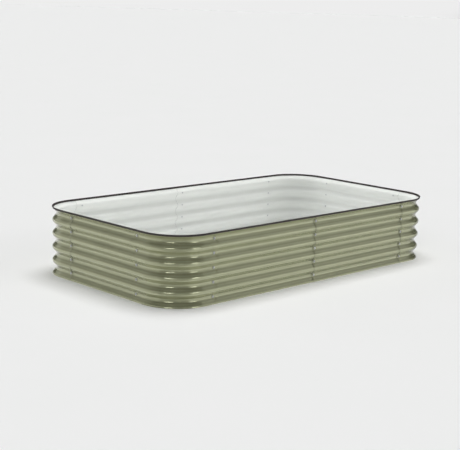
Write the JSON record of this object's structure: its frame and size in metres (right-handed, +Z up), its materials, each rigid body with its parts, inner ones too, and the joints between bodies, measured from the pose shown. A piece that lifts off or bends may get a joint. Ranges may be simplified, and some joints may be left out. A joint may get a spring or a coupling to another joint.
{
  "type": "raised garden bed",
  "caption": "Bottomless raised garden bed of bolted corrugated steel panels with rounded corners and a rubber strip round the rim.",
  "frame": {"origin": "on the ground, in the middle of the bed's footprint", "axes": "+X along the long sides towards the right end, +Y towards the back, +Z up"},
  "size_m": [2.4198, 1.3098, 0.428],
  "materials": {
    "painted_sheet": "satin",
    "edge_rubber": "matte",
    "zinc_fasteners": "zinc plated"
  },
  "bodies": {
    "root": {"corner_panel_front_left": "painted_sheet", "corner_panel_front_right": "painted_sheet", "corner_panel_back_left": "painted_sheet", "corner_panel_back_right": "painted_sheet", "front_panel_left": "painted_sheet", "front_panel_right": "painted_sheet", "back_panel_left": "painted_sheet", "back_panel_right": "painted_sheet", "left_end_panel": "painted_sheet", "right_end_panel": "painted_sheet", "edge_trim": "edge_rubber", "bolt_set_front_left_1": "zinc_fasteners", "bolt_set_front_left_2": "zinc_fasteners", "bolt_set_front_left_3": "zinc_fasteners", "bolt_set_front_left_4": "zinc_fasteners", "bolt_set_front_left_5": "zinc_fasteners", "bolt_set_front_middle_1": "zinc_fasteners", "bolt_set_front_middle_2": "zinc_fasteners", "bolt_set_front_middle_3": "zinc_fasteners", "bolt_set_front_middle_4": "zinc_fasteners", "bolt_set_front_middle_5": "zinc_fasteners", "bolt_set_front_right_1": "zinc_fasteners", "bolt_set_front_right_2": "zinc_fasteners", "bolt_set_front_right_3": "zinc_fasteners", "bolt_set_front_right_4": "zinc_fasteners", "bolt_set_front_right_5": "zinc_fasteners", "bolt_set_back_left_1": "zinc_fasteners", "bolt_set_back_left_2": "zinc_fasteners", "bolt_set_back_left_3": "zinc_fasteners", "bolt_set_back_left_4": "zinc_fasteners", "bolt_set_back_left_5": "zinc_fasteners", "bolt_set_back_middle_2": "zinc_fasteners", "bolt_set_back_middle_3": "zinc_fasteners", "bolt_set_back_middle_4": "zinc_fasteners", "bolt_set_back_middle_5": "zinc_fasteners", "bolt_set_back_right_1": "zinc_fasteners", "bolt_set_back_right_2": "zinc_fasteners", "bolt_set_back_right_3": "zinc_fasteners", "bolt_set_back_right_4": "zinc_fasteners", "bolt_set_back_right_5": "zinc_fasteners", "bolt_set_left_front_1": "zinc_fasteners", "bolt_set_left_front_2": "zinc_fasteners", "bolt_set_left_front_3": "zinc_fasteners", "bolt_set_left_front_4": "zinc_fasteners", "bolt_set_left_front_5": "zinc_fasteners", "bolt_set_left_back_1": "zinc_fasteners", "bolt_set_left_back_2": "zinc_fasteners", "bolt_set_left_back_3": "zinc_fasteners", "bolt_set_left_back_4": "zinc_fasteners", "bolt_set_left_back_5": "zinc_fasteners", "bolt_set_right_front_1": "zinc_fasteners", "bolt_set_right_front_2": "zinc_fasteners", "bolt_set_right_front_3": "zinc_fasteners", "bolt_set_right_front_4": "zinc_fasteners", "bolt_set_right_front_5": "zinc_fasteners", "bolt_set_right_back_1": "zinc_fasteners", "bolt_set_right_back_2": "zinc_fasteners", "bolt_set_right_back_3": "zinc_fasteners", "bolt_set_right_back_4": "zinc_fasteners", "bolt_set_right_back_5": "zinc_fasteners"}
  },
  "joints": []
}
